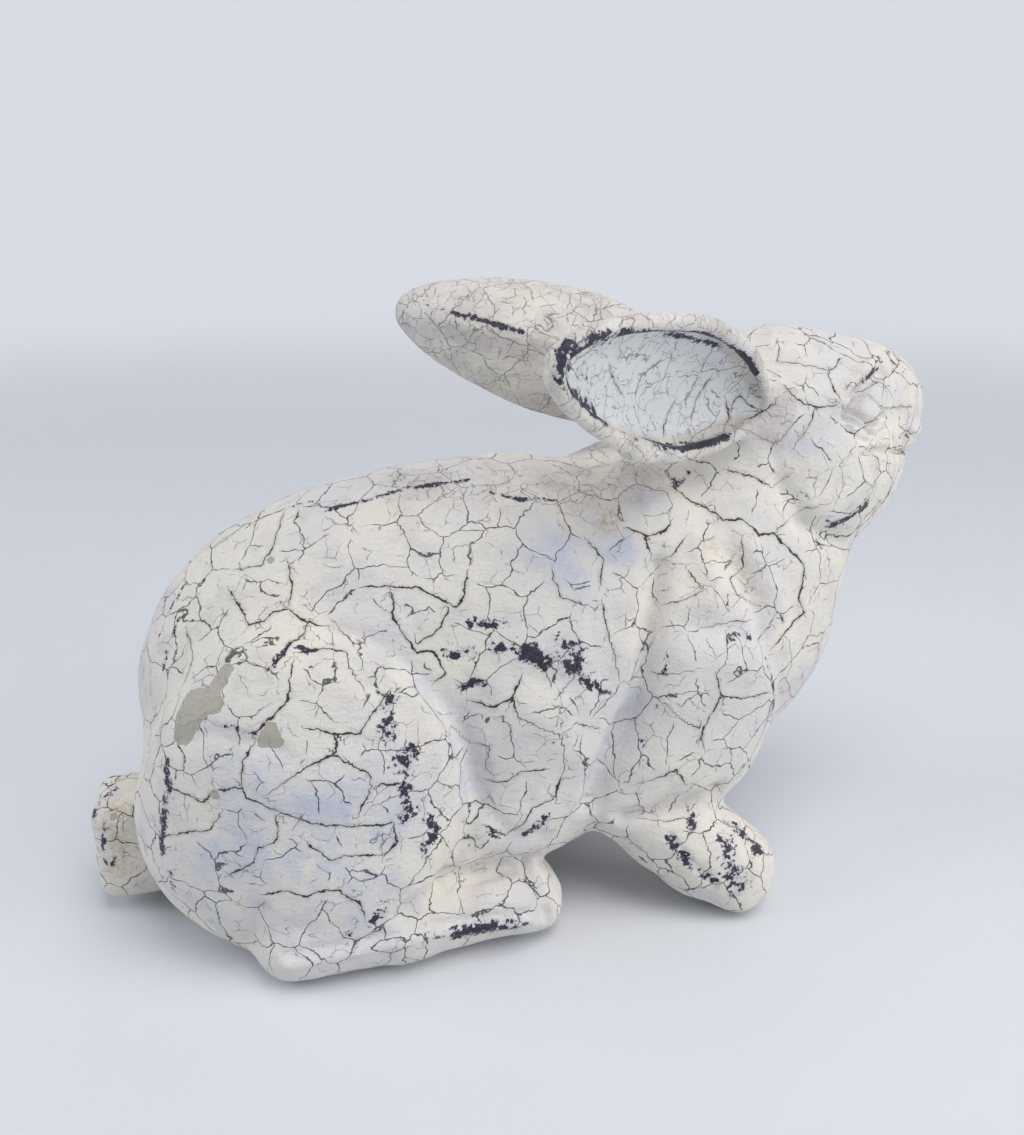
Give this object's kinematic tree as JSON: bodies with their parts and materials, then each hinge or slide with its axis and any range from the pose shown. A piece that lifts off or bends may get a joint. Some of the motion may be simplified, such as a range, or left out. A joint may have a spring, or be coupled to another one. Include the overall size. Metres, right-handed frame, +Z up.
{
  "type": "rabbit figurine",
  "caption": "Crouching rabbit ornament with turned head, swept-back cupped ears, round haunches, forepaws set forward and a block tail, in crackled white over dark.",
  "frame": {"origin": "centre of the bounding box, on the plane of the soles", "axes": "+X towards the nose, +Y to the rabbit's left, +Z up from the soles"},
  "size_m": [0.3204, 0.1518, 0.2174],
  "materials": {
    "painted_resin": "matte crackled white over near-black navy",
    "dowel_wood": "plain sanded",
    "plug_rubber": "matte"
  },
  "bodies": {
    "root": {"body_right": "painted_resin", "body_left": "painted_resin", "head": "painted_resin", "ear_right": "painted_resin", "ear_left": "painted_resin", "tail": "painted_resin", "body_dowels": "dowel_wood", "vent_plug": "plug_rubber"}
  },
  "joints": []
}
